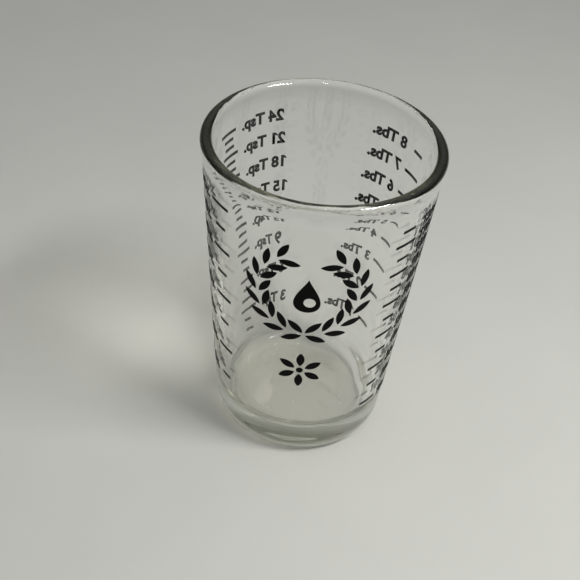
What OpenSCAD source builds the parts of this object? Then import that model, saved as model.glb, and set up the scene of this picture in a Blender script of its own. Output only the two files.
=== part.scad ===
// Measuring glass with four fired scales
//
// A straight-sided tumbler of clear glass with a thick foot. The heel is rounded, the underside is
// hollowed so that the glass stands on a flat ring, and the rim is melted to a full round bead. Black
// enamel fired onto the outside carries four scales and two ornaments. Each line of a scale stands
// at the height that its volume fills the glass to, so the lines move when the glass changes.
//
// Lengths are in millimetres, volumes in cubic millimetres and turns in degrees. The glass stands
// on z = 0 around the z axis. A turn counts from the front of the glass, -Y, towards +X.

/* [Glass] */
// Height from the table to the top of the rim
glass_h = 87; // [78:0.5:96]
// Width across the straight side at the height of the rim
rim_d = 60.6; // [57:0.2:66]
// Width that the straight side would have down at the table
base_d = 45; // [41:0.1:49]
// Thickness of the side wall up at the rim, square to its face
wall = 2.3; // [1.6:0.05:3]
// How much thicker the side wall would be down at the table
wall_swell = 1.2; // [0:0.1:2.4]
// How far the melted rim stands out beyond the straight side
rim_bead = 0.4; // [0.1:0.05:0.6]
// How far the melted rim swells in over the inside wall
rim_lip = 0.3; // [0.1:0.05:0.5]
// Length of side over which the wall swells into the rim
rim_neck = 5.6; // [3:0.5:6]

/* [Foot] */
// Thickness of the glass from the table to the inside floor
floor_t = 7.4; // [6:0.1:11]
// Radius of the inside corner between floor and wall
floor_round = 6.1; // [1.5:0.1:10]
// Height at which the straight side starts to round in
heel_h = 6.3; // [5.5:0.1:8]
// Radius of the upper part of the rounded heel
heel_r = 10.4; // [9.4:0.1:12]
// Radius of the bottom edge, where the heel meets the table
edge_r = 2.85; // [2:0.05:3.5]
// Width of the flat ring that the glass stands on
stand_w = 3; // [1:0.1:4]
// Height of the hollow under the foot, at its middle
hollow_h = 0.5; // [0.3:0.1:2]

/* [Scales] */
// Fluid ounces at the top line of the ounce scale
ounces = 4; // [2:0.5:4]
// Steps of ten millilitres up to the top line of that scale
ten_ml_steps = 12; // [6:1:12]
// Bare side kept between the highest line and the swelling below the rim
headroom = 2; // [1:0.5:8]
// Thickness of each line of a scale
line_w = 0.85; // [0.4:0.05:1.2]
// Turn that a long line sweeps
long_sweep = 14; // [11:0.5:16]
// Turn that a short line sweeps
short_sweep = 8.4; // [5:0.2:10]
// Thickness of the fired enamel
enamel_t = 0.1; // [0.06:0.02:0.2]
// Volume that a teaspoon line holds against its figure, as this glass is printed
teaspoon_print = 1.01; // [0.96:0.001:1.04]
// Volume that a millilitre line holds against its figure, as this glass is printed
millilitre_print = 0.973; // [0.96:0.001:1.04]

/* [Columns] */
// Turn to the middle of the ounce scale at its top line
ounce_turn = -52.5; // [-58:0.5:-48]
// Turn to the middle of the millilitre scale at its top line
millilitre_turn = 49.8; // [46:0.2:56]
// Turn to the middle of the teaspoon scale at its top line
teaspoon_turn = -117; // [-124:0.5:-110]
// Turn to the middle of the tablespoon scale at its top line
tablespoon_turn = 119.5; // [112:0.5:126]
// How far the back columns have turned outwards at the table
back_lean = 13; // [0:0.5:14]
// How far the millilitre column has turned outwards at the table
millilitre_lean = 3.5; // [0:0.5:6]

/* [Wreath] */
// Height of the middle of the wreath above the table
wreath_z = 59.5; // [54:0.5:62]
// Radius of the ring that the leaves follow
wreath_r = 12.8; // [10:0.2:14]
// Pairs of leaves on each side
leaf_pairs = 8; // [5:1:9]
// Length of a leaf
leaf_l = 5.5; // [4:0.1:6]
// Width of a leaf at its middle
leaf_w = 1.9; // [1.2:0.1:2.2]
// Angle at which a leaf stands off the ring
leaf_splay = 32; // [25:1:40]
// Width of the drop inside the wreath
drop_w = 6.7; // [4:0.1:9]
// Height of the drop inside the wreath
drop_h = 10.8; // [8:0.1:13]

/* [Rosette] */
// Height of the middle of the rosette above the table
rosette_z = 33.5; // [28:0.5:38]
// Petals of the rosette
petals = 6; // [5:1:8]
// Length of a petal
petal_l = 4.5; // [3:0.1:5.5]
// Width of a petal at its middle
petal_w = 2.1; // [1.2:0.1:2.4]
// Radius of the dot in the middle of the rosette
eye_r = 0.9; // [0.5:0.1:1.2]
// Gap between the dot and the petals
eye_gap = 0.6; // [0.4:0.1:1]

/* [Hidden] */
$fn = 180;

// Volumes that the scales count in
fluid_ounce = 29573.5;
tablespoon = fluid_ounce / 2;
teaspoon = tablespoon / 3;
ten_millilitres = 10000;

// The outside of the straight side: its taper, and unit directions square to it and up along it
taper = (rim_d - base_d) / 2 / glass_h;
lean = sqrt(1 + taper * taper);
side_out = [1, -taper] / lean;
side_up = [taper, 1] / lean;
function side_r(z) = base_d / 2 + taper * z;

// The inside of the wall, which tapers more, because the wall is thicker down at the foot
inside_taper = taper + wall_swell * lean / glass_h;
inside_lean = sqrt(1 + inside_taper * inside_taper);
inside_out = [1, -inside_taper] / inside_lean;
inside_up = [inside_taper, 1] / inside_lean;
function inside_r(z) = side_r(z) - (wall + wall_swell * (1 - z / glass_h)) * lean;

// The rim: a circle that stands out beyond both faces of the wall
rim_r = (wall + rim_bead + rim_lip) / 2;
rim_z = glass_h - rim_r;
rim_c = [inside_r(rim_z) + (rim_r - rim_lip) * inside_lean, rim_z];
bead = rim_r - (side_r(rim_z) - rim_c.x) / lean;

// Below the rim an arc leaves each face of the wall smoothly and meets the rim's circle smoothly
neck_r = (rim_neck * rim_neck + bead * bead) / 2 / bead - rim_r;
neck_c = rim_c + (neck_r + rim_r - bead) * side_out - rim_neck * side_up;
neck_foot = neck_c - neck_r * side_out;
lip_r = (rim_neck * rim_neck + rim_lip * rim_lip) / 2 / rim_lip - rim_r;
lip_c = rim_c - (lip_r + rim_r - rim_lip) * inside_out - rim_neck * inside_up;
lip_foot = lip_c + lip_r * inside_out;
neck_touch = rim_c + rim_r / (neck_r + rim_r) * (neck_c - rim_c);
lip_touch = rim_c + rim_r / (lip_r + rim_r) * (lip_c - rim_c);

// The heel: a large arc that leaves the side smoothly, then a small arc down to the table
heel_touch = [side_r(heel_h), heel_h];
heel_c = heel_touch - heel_r * side_out;
edge_drop = heel_c.y - edge_r;
edge_c = [heel_c.x + sqrt(pow(heel_r - edge_r, 2) - pow(edge_drop, 2)), edge_r];
edge_way = (edge_c - heel_c) / (heel_r - edge_r);
edge_touch = heel_c + heel_r * edge_way;

// The hollow under the foot: a cap of a large sphere inside the flat standing ring
hollow_w = edge_c.x - stand_w;
hollow_r = (hollow_w * hollow_w + hollow_h * hollow_h) / 2 / hollow_h;

// The inside corner: a circle that touches the floor and the inside wall
corner_z = floor_t + floor_round;
corner_c = [inside_r(corner_z) - floor_round * inside_lean, corner_z];
corner_touch = corner_c + floor_round * inside_out;

// Volume held below a height: first the rounded corner, as an integral of its arc, then the cone
function arc_integral(u) =
    (corner_c.x * corner_c.x + floor_round * floor_round) * u - u * u * u / 3
    + corner_c.x * (u * sqrt(max(0, floor_round * floor_round - u * u))
                    + floor_round * floor_round * asin(u / floor_round) * PI / 180);
function corner_volume(z) = PI * (arc_integral(floor_round) - arc_integral(corner_z - z));
function cone_volume(z) = PI / 3 / inside_taper * (pow(inside_r(z), 3) - pow(corner_touch.x, 3));
function volume_below(z) =
    z < corner_touch.y ? corner_volume(z) : corner_volume(corner_touch.y) + cone_volume(z);

// Height that a volume fills the glass to, found by halving the span it must lie in
function fill_height(volume, low = floor_t, high = glass_h, halvings = 36) =
    let (middle = (low + high) / 2)
    halvings == 0 ? middle
    : volume_below(middle) < volume ? fill_height(volume, middle, high, halvings - 1)
    : fill_height(volume, low, middle, halvings - 1);

// Lines of a scale that leave the headroom free
highest_line = neck_foot.y - headroom;
function lines_that_fit(unit, count) = [for (n = [1:1:count]) if (fill_height(n * unit) < highest_line) n];

// Turn of a leaning column at a height, which has its stated turn at the top line
top_line_z = fill_height(ounces * fluid_ounce);
function column_turn(turn, outwards, z) = turn + sign(turn) * outwards * (1 - z / top_line_z);

// Half of the glass cut through its axis, up to the rim and without the space inside it
module outer_outline() {
    polygon([[0, 0], [edge_c.x, 0], edge_touch, heel_touch, neck_foot, lip_foot, [0, lip_foot.y]]);
    intersection() {
        translate(heel_c)
            circle(r = heel_r);
        polygon([heel_c, heel_c + 2 * heel_r * edge_way, heel_c + 2 * heel_r * side_out]);
    }
    translate(edge_c)
        circle(r = edge_r);
}

// Half of the space inside the glass
module inside_outline() {
    polygon([[-1, floor_t], [corner_c.x, floor_t], corner_touch, [inside_r(glass_h + 1), glass_h + 1],
             [-1, glass_h + 1]]);
    translate(corner_c)
        circle(r = floor_round);
}

// The rim and the stretch of wall that swells into it
module rim_section() {
    translate(rim_c)
        circle(r = rim_r);
    difference() {
        polygon([neck_foot, neck_touch, rim_c, lip_touch, lip_foot]);
        translate(neck_c)
            circle(r = neck_r, $fn = 720);
        translate(lip_c)
            circle(r = lip_r, $fn = 720);
    }
}

// The pressed and melted glass itself
module tumbler() {
    color([0.84, 0.88, 0.87, 0.4])
        rotate_extrude() {
            difference() {
                outer_outline();
                inside_outline();
                translate([0, hollow_h - hollow_r])
                    circle(r = hollow_r, $fn = 720);
            }
            rim_section();
        }
}

module enamel() {
    color([0.07, 0.07, 0.07])
        children();
}

// One line of a scale: a thin band of enamel that follows the side
module scale_line(z, turn, sweep) {
    low = z - line_w / 2;
    high = z + line_w / 2;
    rotate([0, 0, turn - sweep / 2 - 90])
        rotate_extrude(angle = sweep)
            polygon([[side_r(low), low], [side_r(low) + enamel_t, low],
                     [side_r(high) + enamel_t, high], [side_r(high), high]]);
}

// A scale: a line at each unit of volume, long where the unit's number is a multiple of long_step
module scale_column(unit, count, long_step, turn, outwards, long_offset = 0) {
    for (n = lines_that_fit(unit, count)) {
        z = fill_height(n * unit);
        is_long = (n + long_offset) % long_step == 0;
        scale_line(z, column_turn(turn, outwards, z), is_long ? long_sweep : short_sweep);
    }
}

module teaspoon_lines() {
    enamel()
        scale_column(teaspoon * teaspoon_print, ounces * 6, 3, teaspoon_turn, back_lean);
}

// The line of the full glass is a short one, and the others are long
module tablespoon_lines() {
    full = ounces * 2;
    enamel()
        for (n = lines_that_fit(tablespoon, full)) {
            z = fill_height(n * tablespoon);
            scale_line(z, column_turn(tablespoon_turn, back_lean, z), n < full ? long_sweep : short_sweep);
        }
}

module ounce_lines() {
    enamel()
        scale_column(fluid_ounce / 2, ounces * 2, 2, ounce_turn, 0);
}

module millilitre_lines() {
    unit = ten_millilitres * millilitre_print;
    enamel()
        scale_column(unit, ten_ml_steps, 2, millilitre_turn, millilitre_lean, 1);
}

// Enamel in the shape of a flat figure, laid on the side at a distance across from the front.
// The figure is pushed through the side as deep as the side bows and leans over its reach.
module laid_on_side(across, z, reach) {
    turn = across / side_r(z) * 180 / PI;
    depth = enamel_t + reach * reach / side_r(z) + taper * reach;
    low = z - reach;
    high = z + reach;
    rotate([0, 0, turn])
        intersection() {
            translate([0, depth - side_r(z), z])
                rotate([90, 0, 0])
                    linear_extrude(height = 2 * depth)
                        children();
            rotate_extrude()
                polygon([[side_r(low), low], [side_r(low) + enamel_t, low],
                         [side_r(high) + enamel_t, high], [side_r(high), high]]);
        }
}

// A leaf or petal, pointed at both ends, lying along x
module leaf_figure(length, width) {
    bow_r = (length * length + width * width) / 4 / width;
    intersection() {
        translate([0, bow_r - width / 2])
            circle(r = bow_r);
        translate([0, width / 2 - bow_r])
            circle(r = bow_r);
    }
}

// A drop with a round belly and a pointed top, centred on its own height
module drop_figure(width, height) {
    points = 40;
    fullness = 1.6;
    function half_width(t) = sin(t) * pow(abs(sin(t / 2)), fullness);
    widest = max([for (i = [0:1:points - 1]) half_width(i * 360 / points)]);
    polygon([for (i = [0:1:points - 1])
        let (t = i * 360 / points)
        [width / 2 / widest * half_width(t), height / 2 * cos(t)]]);
}

// A ring of leaves that climbs both sides from the bottom and stays open at the top, round a drop
module wreath_print() {
    first = 12;
    last = 152;
    stand_off = leaf_l / 2 * sin(leaf_splay) + leaf_w / 4;
    enamel() {
        for (side = [-1, 1], pair = [0:1:leaf_pairs - 1], way = [-1, 1]) {
            along = first + (last - first) * pair / (leaf_pairs - 1);
            ring_r = wreath_r + way * stand_off;
            across = side * ring_r * sin(along);
            up = -ring_r * cos(along);
            heading = along - way * leaf_splay;
            laid_on_side(across, wreath_z + up, leaf_l)
                rotate([0, 0, side > 0 ? heading : 180 - heading])
                    leaf_figure(leaf_l, leaf_w);
        }
        laid_on_side(0, wreath_z, drop_h)
            difference() {
                drop_figure(drop_w, drop_h);
                translate([drop_w / 10, -drop_h / 5])
                    circle(r = drop_w / 4.5);
            }
    }
}

// A ring of petals round a dot
module rosette_print() {
    petal_c = eye_r + eye_gap + petal_l / 2;
    enamel()
        laid_on_side(0, rosette_z, petal_c + petal_l) {
            circle(r = eye_r);
            for (petal = [0:1:petals - 1])
                rotate([0, 0, 90 + petal * 360 / petals])
                    translate([petal_c, 0])
                        leaf_figure(petal_l, petal_w);
        }
}

tumbler();
teaspoon_lines();
tablespoon_lines();
ounce_lines();
millilitre_lines();
wreath_print();
rosette_print();
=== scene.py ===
"""A small glass measuring cup with black fired scales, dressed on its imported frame.

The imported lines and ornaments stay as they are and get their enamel. The glass is spun again as one
smooth body, because light bends at every facet of a coarse one, and the figures and words beside the
lines are set as thin enamel on the side. Lengths in the classes are millimetres, as a maker would
state them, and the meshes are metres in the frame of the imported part.
"""

import logging
import math
from dataclasses import dataclass
from enum import Enum
from typing import Any, Optional

import bpy
from mathutils import Matrix, Vector

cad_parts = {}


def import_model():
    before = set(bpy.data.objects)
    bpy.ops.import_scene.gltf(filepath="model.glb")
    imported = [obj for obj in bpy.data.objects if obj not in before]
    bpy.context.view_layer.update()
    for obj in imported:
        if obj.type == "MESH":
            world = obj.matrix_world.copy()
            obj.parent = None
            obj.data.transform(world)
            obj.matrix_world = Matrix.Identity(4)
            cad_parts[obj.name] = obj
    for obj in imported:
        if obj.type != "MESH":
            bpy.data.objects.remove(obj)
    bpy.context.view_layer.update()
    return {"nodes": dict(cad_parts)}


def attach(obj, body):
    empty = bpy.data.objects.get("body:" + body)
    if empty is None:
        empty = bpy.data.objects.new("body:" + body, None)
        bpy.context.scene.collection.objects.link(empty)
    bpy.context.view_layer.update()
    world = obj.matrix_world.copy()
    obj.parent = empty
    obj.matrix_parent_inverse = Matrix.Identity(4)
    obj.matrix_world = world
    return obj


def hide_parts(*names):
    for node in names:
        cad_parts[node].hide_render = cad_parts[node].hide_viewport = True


MM = 0.001
FRONT_DEG = -90.0
SAME_POINT_MM = 1e-4
WELD_M = 1e-6
LOG = logging.getLogger("measuring_cup")

Point = tuple[float, float]
Colour = tuple[float, float, float, float]


# Small helpers


def linear(hex_colour: str) -> Colour:
    """Turns an sRGB hex colour to the linear one that a shader takes.

    Args:
        hex_colour: six hex digits after a hash sign.

    Returns:
        Linear red, green and blue, with an alpha of 1.
    """
    parts = [int(hex_colour[i:i + 2], 16) / 255 for i in (1, 3, 5)]
    red, green, blue = (p / 12.92 if p <= 0.04045 else ((p + 0.055) / 1.055) ** 2.4 for p in parts)
    return red, green, blue, 1.0


def add_node(tree: bpy.types.NodeTree, kind: str, values: Optional[dict[Any, Any]] = None,
             links: Optional[dict[Any, Any]] = None, **settings: Any) -> bpy.types.Node:
    """Adds a node with its settings, socket values and incoming links.

    Args:
        tree: the node tree that the node goes into.
        kind: the node's type name.
        values: plain values by input socket.
        links: source sockets by input socket.
        **settings: properties of the node itself.

    Returns:
        The new node.
    """
    node = tree.nodes.new(kind)
    for name, value in settings.items():
        setattr(node, name, value)
    for socket, value in (values or {}).items():
        node.inputs[socket].default_value = value
    for socket, source in (links or {}).items():
        tree.links.new(source, node.inputs[socket])
    return node


def empty_material(name: str) -> bpy.types.Material:
    """Makes a material whose node tree is still empty.

    Args:
        name: the finish, in a maker's words.

    Returns:
        The new material.
    """
    material = bpy.data.materials.new(name)
    material.use_nodes = True
    material.node_tree.nodes.clear()
    return material


def deselect_all() -> None:
    """Leaves edit mode and clears the selection, because operators act on all that is selected."""
    if bpy.context.object is not None and bpy.context.object.mode != "OBJECT":
        bpy.ops.object.mode_set(mode="OBJECT")
    bpy.ops.object.select_all(action="DESELECT")


def select(pieces: list[bpy.types.Object]) -> None:
    """Selects pieces and nothing else.

    Args:
        pieces: the pieces, of which the first becomes the active one.
    """
    deselect_all()
    for piece in pieces:
        piece.select_set(True)
    bpy.context.view_layer.objects.active = pieces[0]


def join(pieces: list[bpy.types.Object]) -> bpy.types.Object:
    """Joins pieces into one.

    Args:
        pieces: the pieces, in the order that their meshes follow each other.

    Returns:
        The joined piece, which is the first one.
    """
    select(pieces)
    bpy.ops.object.join()
    return pieces[0]


def apply_modifier(piece: bpy.types.Object, modifier: bpy.types.Modifier) -> None:
    """Applies one modifier of a piece."""
    select([piece])
    bpy.ops.object.modifier_apply(modifier=modifier.name)


def paint(piece: bpy.types.Object, material: bpy.types.Material) -> None:
    """Gives a piece one material all over."""
    piece.data.materials.clear()
    piece.data.materials.append(material)


def settle(piece: bpy.types.Object, name: str) -> None:
    """Names a finished piece, rides it on the frame and reports it.

    Args:
        piece: the finished object, whose place is in its mesh.
        name: what a person would call the piece.
    """
    piece.name = name
    piece.data.name = name
    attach(piece, "root")
    LOG.info("%s: %d faces", name, len(piece.data.polygons))


# Finishes


@dataclass(frozen=True)
class Whereabouts:
    """Sockets that say where a point of the glass lies, in metres."""

    level: bpy.types.NodeSocket
    radius: bpy.types.NodeSocket
    height: bpy.types.NodeSocket


@dataclass(frozen=True)
class SodaLimeGlass:
    """Pressed and fire-polished soda-lime glass: clear and bright, and grey-green where it is thick.

    Its colour shows only in its depth, so the foot and the rim look dull and olive beside the wall.
    The pressed wall is a little uneven, which sways what is seen through it.
    """

    name: str = "soda_lime_glass_fire_polished"
    ior: float = 1.52
    # What light loses on its way through, by the metre
    depth_colour: str = "#CDCFBF"
    depth_density: float = 20.0
    # The soft unevenness of the pressed wall
    peel_mm: float = 5.0
    peel_depth_mm: float = 0.008
    # Faint wiping smears, taller than they are wide
    smear_mm: float = 7.0
    smear_stretch: float = 5.0
    smear_from: float = 0.52
    smear_full: float = 0.75
    smear_roughness: float = 0.02
    # The fine lines of the melted rim
    rim_at_mm: float = 84.0
    rim_fade_mm: float = 2.0
    rim_r_mm: float = 30.0
    streak_mm: float = 0.45
    streak_run_mm: float = 9.0
    streak_depth_mm: float = 0.025
    # What a lamp's light keeps at the surface, which makes the shadow and the floor seen inside
    through_colour: str = "#DAD9D5"
    graze_colour: str = "#202020"
    graze_power: float = 3.0
    foot_from_mm: float = 4.0
    foot_top_mm: float = 32.0
    foot_r_mm: float = 21.4
    foot_edge_mm: float = 0.8

    def make(self) -> bpy.types.Material:
        """Builds the glass, with the soft unevenness of a pressed wall and faint wiping smears.

        Returns:
            The finished material.
        """
        material = empty_material(self.name)
        tree = material.node_tree
        place = add_node(tree, "ShaderNodeTexCoord")
        spot = self.whereabouts(tree, place)
        peel = add_node(tree, "ShaderNodeTexNoise", {"Scale": 1 / (self.peel_mm * MM), "Detail": 1.0},
                        {"Vector": place.outputs["Object"]})
        bump = add_node(tree, "ShaderNodeBump", {"Strength": 1.0, "Distance": self.peel_depth_mm * MM},
                        {"Height": peel.outputs["Fac"]})
        streaks = add_node(tree, "ShaderNodeBump", {"Strength": 1.0, "Distance": self.streak_depth_mm * MM},
                           {"Height": self.rim_streaks(tree, spot), "Normal": bump.outputs["Normal"]})
        upright = add_node(tree, "ShaderNodeMapping", {"Scale": (1.0, 1.0, 1 / self.smear_stretch)},
                           {"Vector": place.outputs["Object"]})
        smear = add_node(tree, "ShaderNodeTexNoise", {"Scale": 1 / (self.smear_mm * MM), "Detail": 4.0},
                         {"Vector": upright.outputs["Vector"]})
        haze = add_node(tree, "ShaderNodeMapRange",
                        {"From Min": self.smear_from, "From Max": self.smear_full,
                         "To Min": 0.0, "To Max": self.smear_roughness},
                        {"Value": smear.outputs["Fac"]})
        glass = add_node(tree, "ShaderNodeBsdfPrincipled",
                         {"Base Color": linear("#FFFFFF"), "IOR": self.ior, "Transmission Weight": 1.0},
                         {"Roughness": haze.outputs["Result"], "Normal": streaks.outputs["Normal"]})
        depth = add_node(tree, "ShaderNodeVolumeAbsorption",
                         {"Color": linear(self.depth_colour), "Density": self.depth_density})
        surface = self.light_through(tree, spot, glass)
        add_node(tree, "ShaderNodeOutputMaterial",
                 links={"Surface": surface, "Volume": depth.outputs["Volume"]})
        return material

    def whereabouts(self, tree: bpy.types.NodeTree, place: bpy.types.Node) -> Whereabouts:
        """Takes a point's place apart, as it lies round the axis of the glass.

        Args:
            tree: the glass's node tree.
            place: its texture coordinate node.

        Returns:
            The point's place in plan, its distance from the axis and its height.
        """
        parts = add_node(tree, "ShaderNodeSeparateXYZ", links={"Vector": place.outputs["Object"]})
        level = add_node(tree, "ShaderNodeCombineXYZ",
                         links={"X": parts.outputs["X"], "Y": parts.outputs["Y"]})
        radius = add_node(tree, "ShaderNodeVectorMath", links={0: level.outputs["Vector"]},
                          operation="LENGTH")
        return Whereabouts(level.outputs["Vector"], radius.outputs["Value"], parts.outputs["Z"])

    def light_through(self, tree: bpy.types.NodeTree, spot: Whereabouts,
                      glass: bpy.types.Node) -> bpy.types.NodeSocket:
        """Lets lamplight through: clear square on, dark where it grazes the wall or meets the solid foot.

        Args:
            tree: the glass's node tree.
            spot: where a point of the glass lies.
            glass: the shader that every other ray meets.

        Returns:
            The whole surface.
        """
        slant = add_node(tree, "ShaderNodeLayerWeight", {"Blend": 0.5})
        graze = add_node(tree, "ShaderNodeMath", {1: self.graze_power}, {0: slant.outputs["Facing"]},
                         operation="POWER")
        outside = add_node(tree, "ShaderNodeMapRange",
                           {"From Min": self.foot_r_mm * MM,
                            "From Max": (self.foot_r_mm + self.foot_edge_mm) * MM},
                           {"Value": spot.radius})
        foot = add_node(tree, "ShaderNodeMapRange",
                        {"From Min": self.foot_from_mm * MM, "From Max": self.foot_top_mm * MM,
                         "To Min": 1.0, "To Max": 0.0}, {"Value": spot.height})
        bent = add_node(tree, "ShaderNodeMath",
                        links={0: foot.outputs["Result"], 1: outside.outputs["Result"]},
                        operation="MULTIPLY")
        lost = add_node(tree, "ShaderNodeMath",
                        links={0: graze.outputs["Value"], 1: bent.outputs["Value"]},
                        operation="MAXIMUM")
        tint = add_node(tree, "ShaderNodeMix",
                        {"A": linear(self.through_colour), "B": linear(self.graze_colour)},
                        {"Factor": lost.outputs["Value"]}, data_type="RGBA")
        clear = add_node(tree, "ShaderNodeBsdfTransparent", links={"Color": tint.outputs["Result"]})
        ray = add_node(tree, "ShaderNodeLightPath")
        mix = add_node(tree, "ShaderNodeMixShader",
                       links={0: ray.outputs["Is Shadow Ray"], 1: glass.outputs["BSDF"],
                              2: clear.outputs["BSDF"]})
        return mix.outputs["Shader"]

    def rim_streaks(self, tree: bpy.types.NodeTree, spot: Whereabouts) -> bpy.types.NodeSocket:
        """Draws the fine lines that run round a melted rim, and only there.

        Args:
            tree: the glass's node tree.
            spot: where a point of the glass lies.

        Returns:
            The height of the streaks, from 0 to 1.
        """
        way = add_node(tree, "ShaderNodeVectorMath", links={0: spot.level}, operation="NORMALIZE")
        ways = add_node(tree, "ShaderNodeSeparateXYZ", links={"Vector": way.outputs["Vector"]})
        run = self.rim_r_mm / self.streak_run_mm
        fine = 1 / (self.streak_mm * MM)
        along = [add_node(tree, "ShaderNodeMath", {1: run}, {0: ways.outputs[axis]}, operation="MULTIPLY")
                 for axis in ("X", "Y")]
        across, rise = [add_node(tree, "ShaderNodeMath", {1: fine}, {0: length}, operation="MULTIPLY")
                        for length in (spot.radius, spot.height)]
        lines = add_node(tree, "ShaderNodeCombineXYZ", links={
            "X": along[0].outputs["Value"], "Y": along[1].outputs["Value"], "Z": across.outputs["Value"]})
        noise = add_node(tree, "ShaderNodeTexNoise", {"Scale": 1.0, "Detail": 1.0},
                         {"Vector": lines.outputs["Vector"], "W": rise.outputs["Value"]},
                         noise_dimensions="4D")
        limit = add_node(tree, "ShaderNodeMapRange",
                         {"From Min": (self.rim_at_mm - self.rim_fade_mm) * MM,
                          "From Max": self.rim_at_mm * MM},
                         {"Value": spot.height})
        height = add_node(tree, "ShaderNodeMath",
                          links={0: noise.outputs["Fac"], 1: limit.outputs["Result"]},
                          operation="MULTIPLY")
        return height.outputs["Value"]


@dataclass(frozen=True)
class FiredEnamel:
    """Black ceramic enamel, screen printed and fired: dense black, half glossy, with a fine mesh grain.

    The mesh of a screen is finer than shows in a picture, so its grain is drawn coarser.
    """

    name: str = "ceramic_enamel_black_fired"
    colour: str = "#050505"
    thin_colour: str = "#070707"
    ior: float = 1.5
    specular: float = 0.06
    glossiest: float = 0.28
    dullest: float = 0.48
    grain_mm: float = 0.25
    grain_depth_mm: float = 0.006
    cloud_mm: float = 2.0

    def make(self) -> bpy.types.Material:
        """Builds the enamel, with slightly thinner spots and the grain that the screen leaves.

        Returns:
            The finished material.
        """
        material = empty_material(self.name)
        tree = material.node_tree
        place = add_node(tree, "ShaderNodeTexCoord")
        grain = add_node(tree, "ShaderNodeTexNoise", {"Scale": 1 / (self.grain_mm * MM), "Detail": 2.0},
                         {"Vector": place.outputs["Object"]})
        cloud = add_node(tree, "ShaderNodeTexNoise", {"Scale": 1 / (self.cloud_mm * MM), "Detail": 2.0},
                         {"Vector": place.outputs["Object"]})
        colour = add_node(tree, "ShaderNodeMix",
                          {"A": linear(self.colour), "B": linear(self.thin_colour)},
                          {"Factor": cloud.outputs["Fac"]}, data_type="RGBA")
        bump = add_node(tree, "ShaderNodeBump", {"Strength": 1.0, "Distance": self.grain_depth_mm * MM},
                        {"Height": grain.outputs["Fac"]})
        gloss = add_node(tree, "ShaderNodeMapRange", {"To Min": self.glossiest, "To Max": self.dullest},
                         {"Value": cloud.outputs["Fac"]})
        enamel = add_node(tree, "ShaderNodeBsdfPrincipled",
                          {"IOR": self.ior, "Specular IOR Level": self.specular},
                          {"Base Color": colour.outputs["Result"], "Roughness": gloss.outputs["Result"],
                           "Normal": bump.outputs["Normal"]})
        add_node(tree, "ShaderNodeOutputMaterial", links={"Surface": enamel.outputs["BSDF"]})
        return material


@dataclass(frozen=True)
class PaleLaminate:
    """The table: pressed melamine laminate, matt pale grey with a fine pebble that breaks its gloss."""

    name: str = "table_laminate_pale_grey"
    colour: str = "#B4B5B2"
    cloud_colour: str = "#AEAFAC"
    roughness: float = 0.6
    specular: float = 0.25
    cloud_mm: float = 40.0
    pebble_mm: float = 0.8
    pebble_depth_mm: float = 0.03
    pebble_strength: float = 0.4

    def make(self) -> bpy.types.Material:
        """Builds the laminate.

        Returns:
            The finished material.
        """
        material = empty_material(self.name)
        tree = material.node_tree
        place = add_node(tree, "ShaderNodeTexCoord")
        cloud = add_node(tree, "ShaderNodeTexNoise", {"Scale": 1 / (self.cloud_mm * MM), "Detail": 3.0},
                         {"Vector": place.outputs["Object"]})
        colour = add_node(tree, "ShaderNodeMix",
                          {"A": linear(self.colour), "B": linear(self.cloud_colour)},
                          {"Factor": cloud.outputs["Fac"]}, data_type="RGBA")
        pebble = add_node(tree, "ShaderNodeTexNoise", {"Scale": 1 / (self.pebble_mm * MM), "Detail": 2.0},
                          {"Vector": place.outputs["Object"]})
        bump = add_node(tree, "ShaderNodeBump",
                        {"Strength": self.pebble_strength, "Distance": self.pebble_depth_mm * MM},
                        {"Height": pebble.outputs["Fac"]})
        board = add_node(tree, "ShaderNodeBsdfPrincipled",
                         {"Roughness": self.roughness, "Specular IOR Level": self.specular},
                         {"Base Color": colour.outputs["Result"], "Normal": bump.outputs["Normal"]})
        add_node(tree, "ShaderNodeOutputMaterial", links={"Surface": board.outputs["BSDF"]})
        return material


# The glass


@dataclass(frozen=True)
class Steps:
    """The number of pieces that each stretch of the glass's outline is cut into."""

    hollow: int = 14
    ring: int = 6
    edge: int = 14
    heel: int = 18
    side: int = 36
    neck: int = 14
    rim: int = 34
    lip: int = 14
    inside: int = 44
    corner: int = 20
    floor: int = 12
    spin: int = 288


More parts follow.
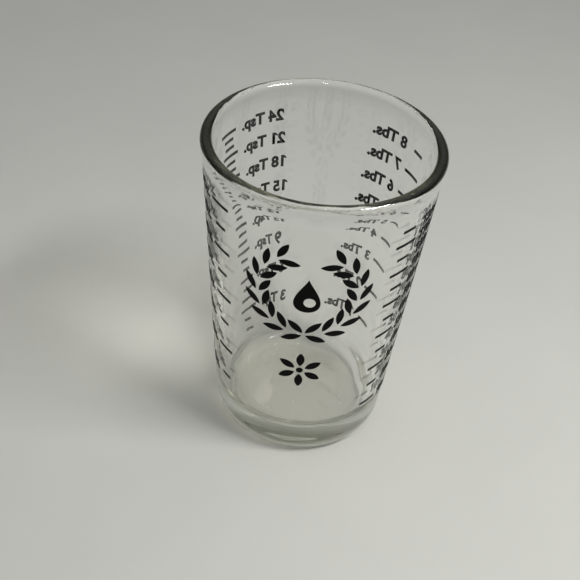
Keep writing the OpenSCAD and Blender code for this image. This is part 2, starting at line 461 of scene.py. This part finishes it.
@dataclass
class Tumbler:
    """The glass itself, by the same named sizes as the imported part.

    After those come the bond that sinks the enamel's back into the glass, and the waves of the wall.
    """

    glass_h: float = 87.0
    rim_d: float = 60.6
    base_d: float = 45.0
    wall: float = 2.3
    wall_swell: float = 1.2
    rim_bead: float = 0.4
    rim_lip: float = 0.3
    rim_neck: float = 5.6
    floor_t: float = 7.4
    floor_round: float = 6.1
    heel_h: float = 6.3
    heel_r: float = 10.4
    edge_r: float = 2.85
    stand_w: float = 3.0
    hollow_h: float = 0.5
    bond: float = 0.02
    bond_from: float = 0.3
    bond_fade: float = 2.0
    wave_mm: float = 13.0
    wave_depth: float = 0.22
    wave_rise: float = 8.0
    wave_fall: float = 6.0
    wave_below_rim: float = 2.0
    steps: Steps = Steps()

    @property
    def taper(self) -> float:
        """How far the side leans out for each millimetre of height."""
        return (self.rim_d - self.base_d) / 2 / self.glass_h

    @property
    def lean(self) -> float:
        """Length of the side for each millimetre of height."""
        return math.hypot(1, self.taper)

    def side_r(self, z: float) -> float:
        """Radius of the straight side at a height."""
        return self.base_d / 2 + self.taper * z

    def inside_r(self, z: float) -> float:
        """Radius of the inside wall at a height."""
        return self.side_r(z) - (self.wall + self.wall_swell * (1 - z / self.glass_h)) * self.lean

    @property
    def inside_taper(self) -> float:
        """How far the inside wall leans out for each millimetre of height."""
        return self.taper + self.wall_swell * self.lean / self.glass_h

    def bonded(self, z: float) -> float:
        """Share of the bond that a height gets: all of it behind the prints, none at heel and rim.

        Args:
            z: the height in millimetres.

        Returns:
            The share, from 0 to 1.
        """
        above_heel = max(0.0, z / self.heel_h - self.bond_from)
        below_neck = max(0.0, (self.glass_h - self.rim_neck - z) / self.bond_fade)
        return min(1.0, above_heel, below_neck)

    def profile(self) -> list[Point]:
        """Draws half of the glass, from the middle of its underside over the rim to its inside floor.

        Returns:
            Points (radius, height) in millimetres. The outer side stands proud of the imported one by
            the bond, so that the enamel reaches into the glass and no air lies behind it.
        """
        tilt, in_tilt, up = math.atan(self.taper), math.atan(self.inside_taper), math.pi / 2
        in_lean = math.hypot(1, self.inside_taper)
        rim_r = (self.wall + self.rim_bead + self.rim_lip) / 2
        rim_z = self.glass_h - rim_r
        rim = (self.inside_r(rim_z) + (rim_r - self.rim_lip) * in_lean, rim_z)
        bead = rim_r - (self.side_r(rim_z) - rim[0]) / self.lean
        neck_r = (self.rim_neck ** 2 + bead ** 2) / 2 / bead - rim_r
        neck = beside(rim, neck_r + rim_r - bead, -self.rim_neck, tilt)
        neck_sweep = math.asin(self.rim_neck / (neck_r + rim_r))
        lip_r = (self.rim_neck ** 2 + self.rim_lip ** 2) / 2 / self.rim_lip - rim_r
        lip = beside(rim, -lip_r - rim_r + self.rim_lip, -self.rim_neck, in_tilt)
        lip_sweep = math.asin(self.rim_neck / (lip_r + rim_r))
        heel = beside((self.side_r(self.heel_h), self.heel_h), -self.heel_r, 0, tilt)
        edge_x = heel[0] + math.sqrt((self.heel_r - self.edge_r) ** 2 - (heel[1] - self.edge_r) ** 2)
        edge_way = math.atan2(self.edge_r - heel[1], edge_x - heel[0])
        hollow_w = edge_x - self.stand_w
        hollow_r = (hollow_w ** 2 + self.hollow_h ** 2) / 2 / self.hollow_h
        hollow_sweep = math.asin(hollow_w / hollow_r)
        corner_z = self.floor_t + self.floor_round
        corner = (self.inside_r(corner_z) - self.floor_round * in_lean, corner_z)

        steps = self.steps
        points = arc((0, self.hollow_h - hollow_r), hollow_r, up, up - hollow_sweep, steps.hollow)
        points += line((hollow_w, 0), (edge_x, 0), steps.ring)
        points += arc((edge_x, self.edge_r), self.edge_r, -up, edge_way, steps.edge)
        points += arc(heel, self.heel_r, edge_way, -tilt, steps.heel)
        points += line((self.side_r(self.heel_h), self.heel_h), beside(neck, -neck_r, 0, tilt), steps.side)
        points += arc(neck, neck_r, 2 * up - tilt, 2 * up - tilt - neck_sweep, steps.neck)
        points = [(x + self.bond * self.bonded(z), z) for x, z in points]
        points += arc(rim, rim_r, -tilt - neck_sweep, 2 * up - in_tilt + lip_sweep, steps.rim)
        points += arc(lip, lip_r, lip_sweep - in_tilt, -in_tilt, steps.lip)
        points += line(beside(lip, lip_r, 0, in_tilt), beside(corner, self.floor_round, 0, in_tilt),
                       steps.inside)
        points += arc(corner, self.floor_round, -in_tilt, -up, steps.corner)
        points += line((corner[0], self.floor_t), (0, self.floor_t), steps.floor)
        apart = [p for p, q in zip(points, points[1:]) if math.dist(p, q) > SAME_POINT_MM]
        return apart + points[-1:]

    def build(self) -> bpy.types.Object:
        """Draws the profile by extruding one vertex, spins it round the axis and adds the mould's waves.

        Returns:
            The finished glass, closed, with smooth shading.
        """
        points = self.profile()
        deselect_all()
        start = Vector((points[0][0], 0, points[0][1])) * MM
        bpy.ops.mesh.primitive_plane_add(size=MM, location=(0, 0, 0))
        piece = bpy.context.object
        bpy.ops.object.mode_set(mode="EDIT")
        bpy.ops.mesh.select_mode(type="VERT")
        bpy.ops.mesh.select_all(action="SELECT")
        bpy.ops.mesh.merge(type="CENTER")
        bpy.ops.transform.translate(value=start)
        for (x, z), (next_x, next_z) in zip(points, points[1:]):
            step = Vector((next_x - x, 0, next_z - z)) * MM
            bpy.ops.mesh.extrude_vertices_move(TRANSFORM_OT_translate={"value": step})
        bpy.ops.mesh.select_all(action="SELECT")
        bpy.ops.mesh.spin(steps=self.steps.spin, angle=math.tau, center=(0, 0, 0), axis=(0, 0, 1))
        bpy.ops.mesh.select_all(action="SELECT")
        bpy.ops.mesh.remove_doubles(threshold=WELD_M)
        bpy.ops.mesh.normals_make_consistent(inside=False)
        bpy.ops.object.mode_set(mode="OBJECT")
        bpy.ops.object.shade_smooth()
        self.add_waves(piece)
        return piece

    def add_waves(self, piece: bpy.types.Object) -> None:
        """Lets the inside wall swell and thin a little, as a plunger leaves it, up to near the rim.

        Args:
            piece: the spun glass.
        """
        inside = piece.vertex_groups.new(name="inside_wall")
        low, high = self.floor_t + self.floor_round, self.glass_h - self.wave_below_rim
        for vertex in piece.data.vertices:
            radius, z = math.hypot(vertex.co.x, vertex.co.y) / MM, vertex.co.z / MM
            if low < z < high and radius < self.side_r(z) - self.wall / 2:
                share = min(1, (z - low) / self.wave_rise, (high - z) / self.wave_fall)
                inside.add([vertex.index], share, "REPLACE")
        waves = bpy.data.textures.new("plunger_waves", "CLOUDS")
        waves.noise_scale = self.wave_mm * MM
        waves.noise_depth = 1
        swell = piece.modifiers.new("plunger_waves", "DISPLACE")
        swell.texture = waves
        swell.texture_coords = "LOCAL"
        swell.vertex_group = inside.name
        swell.mid_level = 0.5
        swell.strength = self.wave_depth * MM
        apply_modifier(piece, swell)
        piece.vertex_groups.clear()

    def dress(self, glass: bpy.types.Material) -> None:
        """Builds the glass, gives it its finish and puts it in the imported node's stead.

        Args:
            glass: the glass's finish.
        """
        piece = self.build()
        paint(piece, glass)
        settle(piece, "spun_glass")
        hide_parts("tumbler")


def arc(centre: Point, radius: float, start: float, end: float, steps: int) -> list[Point]:
    """Points along an arc, both ends included.

    Args:
        centre: the arc's middle.
        radius: its radius.
        start: the angle of its first point, in radians from the radial direction.
        end: the angle of its last point.
        steps: the number of pieces it is cut into.

    Returns:
        The points in order.
    """
    turns = [start + (end - start) * i / steps for i in range(steps + 1)]
    return [(centre[0] + radius * math.cos(t), centre[1] + radius * math.sin(t)) for t in turns]


def beside(start: Point, out: float, along: float, tilt: float) -> Point:
    """Goes from a point square to a leaning side, outwards, and then up along that side.

    Args:
        start: the point that the way begins at.
        out: the distance square to the side.
        along: the distance along the side.
        tilt: how far the side leans out from upright, in radians.

    Returns:
        The point at the end of the way.
    """
    return (start[0] + out * math.cos(tilt) + along * math.sin(tilt),
            start[1] + along * math.cos(tilt) - out * math.sin(tilt))


def line(start: Point, end: Point, steps: int) -> list[Point]:
    """Points along a straight line, closer together near its ends, where smooth shading needs them.

    Args:
        start: the first point.
        end: the last point.
        steps: the number of pieces it is cut into.

    Returns:
        The points in order, both ends included.
    """
    shares = [(1 - math.cos(math.pi * i / steps)) / 2 for i in range(steps + 1)]
    return [(start[0] + (end[0] - start[0]) * s, start[1] + (end[1] - start[1]) * s) for s in shares]


# The prints


class Beside(Enum):
    """The side of its line that a word stands on, seen from outside the glass."""

    LEFT = -1
    RIGHT = 1


@dataclass(frozen=True)
class PrintedLine:
    """One line of a packed scale: its height in millimetres and the turn of its middle in degrees."""

    z: float
    turn: float


@dataclass(frozen=True)
class Lettering:
    """The words of one scale, the lowest first, and how they stand beside its lines."""

    name: str
    node: str
    words: tuple[str, ...]
    beside: Beside
    every: int = 1
    gap: float = 1.65
    stretch: float = 1.0


@dataclass
class Prints:
    """The enamel fired onto the side: packed lines and ornaments, and the words beside the lines.

    Lengths are millimetres, but those that describe the face are shares of the size it is set at.
    """

    glass: Tumbler
    nodes: dict[str, bpy.types.Object]
    cap_h: float = 3.4
    enamel_t: float = 0.1
    long_sweep: float = 14.0
    line_apart: float = 1.0
    bolden: float = 0.043
    face_capital: float = 0.682
    face_bar: float = 0.2
    curve_steps: int = 5
    flag_corners: tuple[Point, ...] = ((-0.17, 0.25), (0.0, 0.16), (-0.17, 0.13), (0.0, 0.0))
    scales: tuple[Lettering, ...] = (
        Lettering("teaspoon_figures", "teaspoon_lines",
                  tuple(f"{n} Tsp." for n in range(3, 25, 3)), Beside.LEFT, every=3, gap=2.6, stretch=1.08),
        Lettering("tablespoon_figures", "tablespoon_lines",
                  tuple(f"{n} Tbs." for n in range(1, 9)), Beside.RIGHT, gap=2.1, stretch=1.13),
        Lettering("ounce_figures", "ounce_lines",
                  tuple(f"{n} Oz."
                        for n in ("\u00bd", "1", "1\u00bd", "2", "2\u00bd", "3", "3\u00bd", "4")),
                  Beside.LEFT, stretch=1.03),
        Lettering("millilitre_figures", "millilitre_lines",
                  tuple(f"{n} ml" for n in range(10, 121, 10)), Beside.RIGHT, stretch=1.03),
    )

    def printed_lines(self, node: str) -> list[PrintedLine]:
        """Reads the lines of a packed scale, the lowest first.

        Args:
            node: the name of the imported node.

        Returns:
            One entry for each line. A turn counts from the front, towards +X.
        """
        corners = sorted((v.co / MM for v in self.nodes[node].data.vertices), key=lambda p: p.z)
        groups: list[list[Vector]] = []
        for corner in corners:
            if not groups or corner.z - groups[-1][0].z > self.line_apart:
                groups.append([])
            groups[-1].append(corner)
        lines = []
        for group in groups:
            turns = [math.degrees(math.atan2(p.x, -p.y)) for p in group]
            lines.append(PrintedLine((group[0].z + group[-1].z) / 2, (min(turns) + max(turns)) / 2))
        return lines

    def flat_word(self, text: str, beside: Beside) -> bpy.types.Object:
        """Sets a word flat, as a mesh, its capitals centred on the x axis and its near end on the y axis.

        Args:
            text: the word.
            beside: which side of its line it will stand on.

        Returns:
            The flat mesh, in metres.
        """
        deselect_all()
        bpy.ops.object.text_add(location=(0, 0, 0), rotation=(0, 0, 0))
        piece = bpy.context.object
        piece.data.body = text
        piece.data.size = 1.0
        piece.data.offset = self.bolden
        piece.data.resolution_u = self.curve_steps
        bpy.ops.object.convert(target="MESH")
        piece = self.flag_ones(bpy.context.object, text.split()[0].count("1"))
        size = self.cap_h / self.capital_share * MM
        near = (max if beside is Beside.LEFT else min)(v.co.x for v in piece.data.vertices)
        for vertex in piece.data.vertices:
            vertex.co = Vector((vertex.co.x - near, vertex.co.y - self.face_capital / 2, 0)) * size
        return piece

    def flag_ones(self, piece: bpy.types.Object, count: int) -> bpy.types.Object:
        """Gives the figures 1 of a flat word the slanting flag that the face leaves off.

        Args:
            piece: the flat word at size 1, whose figures 1 are bare upright bars.
            count: how many figures 1 its number has. They are the first bars of the word.

        Returns:
            The word with its flags, as one mesh.
        """
        select([piece])
        bpy.ops.mesh.separate(type="LOOSE")
        letters = list(bpy.context.selected_objects)
        bars = sorted((min(v.co.x for v in p.data.vertices), max(v.co.y for v in p.data.vertices))
                      for p in letters
                      if p.dimensions.x < self.face_bar and p.dimensions.y > self.face_capital)
        for left, top in bars[:count]:
            bpy.ops.mesh.primitive_plane_add(size=1, location=(0, 0, 0))
            flag = bpy.context.object
            for vertex, (across, down) in zip(flag.data.vertices, self.flag_corners):
                vertex.co = Vector((left + across, top - down, 0))
            letters.append(flag)
        return join(letters)

    @property
    def capital_share(self) -> float:
        """Height of a bold capital as a share of the size that the face is set at."""
        return self.face_capital + 2 * self.bolden

    def lay_on_side(self, piece: bpy.types.Object, z: float, turn: float, stretch: float) -> None:
        """Wraps a flat word round the tapering side, where it narrows downwards as the glass does.

        Args:
            piece: the flat word.
            z: the height of its middle, in millimetres.
            turn: the turn of its near end, in degrees from the front.
            stretch: how much wider than the face it is printed at the rim.
        """
        full_r = self.glass.side_r(self.glass.glass_h)
        for vertex in piece.data.vertices:
            across, height = vertex.co.x / MM, z + vertex.co.y / MM / self.glass.lean
            angle = math.radians(turn + FRONT_DEG) + across * stretch / full_r
            radius = self.glass.side_r(height)
            vertex.co = Vector((radius * math.cos(angle), radius * math.sin(angle), height)) * MM

    def letter(self, scale: Lettering) -> bpy.types.Object:
        """Sets all words of a scale beside their lines, as one piece of enamel.

        Args:
            scale: the scale's words and where they stand.

        Returns:
            The finished piece, closed, as thick as the enamel.
        """
        lines = self.printed_lines(scale.node)[scale.every - 1::scale.every]
        words = []
        for text, printed in zip(scale.words, lines):
            away = self.long_sweep / 2 + math.degrees(scale.gap / self.glass.side_r(printed.z))
            word = self.flat_word(text, scale.beside)
            self.lay_on_side(word, printed.z, printed.turn + scale.beside.value * away, scale.stretch)
            words.append(word)
        piece = join(words)
        body = piece.modifiers.new("enamel", "SOLIDIFY")
        body.thickness = self.enamel_t * MM
        body.offset = 1.0
        apply_modifier(piece, body)
        return piece

    def dress(self, enamel: bpy.types.Material) -> None:
        """Gives every packed print its enamel and sets the words of each scale.

        Args:
            enamel: the prints' finish.
        """
        for name, node in self.nodes.items():
            if name != "tumbler":
                paint(node, enamel)
                LOG.info("%s: packed, %d faces", name, len(node.data.polygons))
        for scale in self.scales:
            piece = self.letter(scale)
            paint(piece, enamel)
            settle(piece, scale.name)


# The room


@dataclass(frozen=True)
class Softbox:
    """A rectangular lamp that points at the glass from a turn and an elevation, in degrees.

    The turn counts from the front, towards +X, and the lengths are millimetres.
    """

    name: str
    turn: float
    elevation: float
    away: float
    width: float
    height: float
    watts: float
    colour: str = "#FFFFFF"
    aim_z: float = 40.0

    def hang(self) -> None:
        """Adds the lamp to the scene."""
        turn, rise = math.radians(self.turn), math.radians(self.elevation)
        way = Vector((math.sin(turn) * math.cos(rise), -math.cos(turn) * math.cos(rise), math.sin(rise)))
        aim = Vector((0, 0, self.aim_z * MM))
        deselect_all()
        bpy.ops.object.light_add(type="AREA", location=aim + way * self.away * MM)
        lamp = bpy.context.object
        lamp.name = self.name
        lamp.rotation_mode = "QUATERNION"
        lamp.rotation_quaternion = way.to_track_quat("Z", "Y")
        lamp.data.shape = "RECTANGLE"
        lamp.data.size = self.width * MM
        lamp.data.size_y = self.height * MM
        lamp.data.energy = self.watts
        lamp.data.color = linear(self.colour)[:3]


@dataclass
class Studio:
    """The table, the lamps, the light of the room and the camera, whose turns are in radians.

    The horizon is seen_horizon where the glass shows it, which gives its edges their olive.
    """

    table_r: float = 4000.0
    table_sides: int = 96
    table_below: float = 0.03
    bounces: int = 40
    focal: float = 76.16
    film_w: float = 36.0
    nearest: float = 10.0
    camera_at: tuple[float, float, float] = (0.0, -257.539, 243.494)
    yaw: float = -0.0189
    pitch: float = 0.6717
    roll: float = 0.0997
    horizon: str = "#4C4D4A"
    seen_horizon: str = "#605F4E"
    zenith: str = "#C4C5C3"
    horizon_to: float = 0.1
    zenith_from: float = 0.9
    lamps: tuple[Softbox, ...] = (
        Softbox("window", 64.0, 53.5, 430.0, 160.0, 44.0, 1.85, "#FFFDF8"),
        Softbox("spot", 8.0, 62.0, 900.0, 60.0, 60.0, 0.8),
    )

    def lay_table(self, laminate: bpy.types.Material) -> None:
        """Lays the table top, a hair under the standing ring.

        Args:
            laminate: the table's finish.
        """
        deselect_all()
        bpy.ops.mesh.primitive_circle_add(vertices=self.table_sides, radius=self.table_r * MM,
                                          fill_type="NGON", location=(0, 0, -self.table_below * MM))
        table = bpy.context.object
        table.name = "table"
        paint(table, laminate)

    def light_room(self) -> None:
        """Makes the room: dark round the horizon, as a room is, and paler overhead."""
        world = bpy.data.worlds.new("room")
        bpy.context.scene.world = world
        world.use_nodes = True
        tree = world.node_tree
        tree.nodes.clear()
        way = add_node(tree, "ShaderNodeTexCoord")
        parts = add_node(tree, "ShaderNodeSeparateXYZ", links={"Vector": way.outputs["Generated"]})
        rise = add_node(tree, "ShaderNodeMapRange",
                        {"From Min": self.horizon_to, "From Max": self.zenith_from},
                        {"Value": parts.outputs["Z"]}, interpolation_type="SMOOTHSTEP")
        ray = add_node(tree, "ShaderNodeLightPath")
        seen = add_node(tree, "ShaderNodeMath", operation="MAXIMUM",
                        links={0: ray.outputs["Is Transmission Ray"], 1: ray.outputs["Is Glossy Ray"]})
        wall = add_node(tree, "ShaderNodeMix", {"A": linear(self.horizon), "B": linear(self.seen_horizon)},
                        {"Factor": seen.outputs["Value"]}, data_type="RGBA")
        shade = add_node(tree, "ShaderNodeMix", {"B": linear(self.zenith)},
                         {"Factor": rise.outputs["Result"], "A": wall.outputs["Result"]}, data_type="RGBA")
        air = add_node(tree, "ShaderNodeBackground", {"Strength": 1.0}, {"Color": shade.outputs["Result"]})
        add_node(tree, "ShaderNodeOutputWorld", links={"Surface": air.outputs["Background"]})
        for lamp in self.lamps:
            lamp.hang()

    def let_light_run(self) -> None:
        """Lets light bounce often enough to run along inside the wall, which gives the rim its olive."""
        paths = bpy.context.scene.cycles
        paths.max_bounces = paths.glossy_bounces = paths.transmission_bounces = self.bounces

    def place_camera(self) -> None:
        """Places the camera where the photograph was taken from, with its lens and its slight roll."""
        forward = Vector((math.sin(self.yaw) * math.cos(self.pitch),
                          math.cos(self.yaw) * math.cos(self.pitch), -math.sin(self.pitch)))
        level = Vector((math.cos(self.yaw), -math.sin(self.yaw), 0))
        upright = level.cross(forward)
        right = math.cos(self.roll) * level + math.sin(self.roll) * upright
        above = math.cos(self.roll) * upright - math.sin(self.roll) * level
        deselect_all()
        bpy.ops.object.camera_add()
        camera = bpy.context.object
        camera.matrix_world = Matrix.Translation(Vector(self.camera_at) * MM) @ Matrix(
            (right, above, -forward)).transposed().to_4x4()
        camera.data.sensor_width = self.film_w
        camera.data.lens = self.focal
        camera.data.clip_start = self.nearest * MM
        bpy.context.scene.camera = camera


def main() -> None:
    """Builds and dresses every piece, and sets up the table, the lamps and the camera."""
    logging.basicConfig(level=logging.INFO, format="%(name)s: %(message)s")
    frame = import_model()
    bpy.context.scene.view_settings.view_transform = "Standard"
    glass = Tumbler()
    glass.dress(SodaLimeGlass().make())
    Prints(glass, frame["nodes"]).dress(FiredEnamel().make())
    studio = Studio()
    studio.lay_table(PaleLaminate().make())
    studio.light_room()
    studio.let_light_run()
    studio.place_camera()


if __name__ == "__main__":
    main()
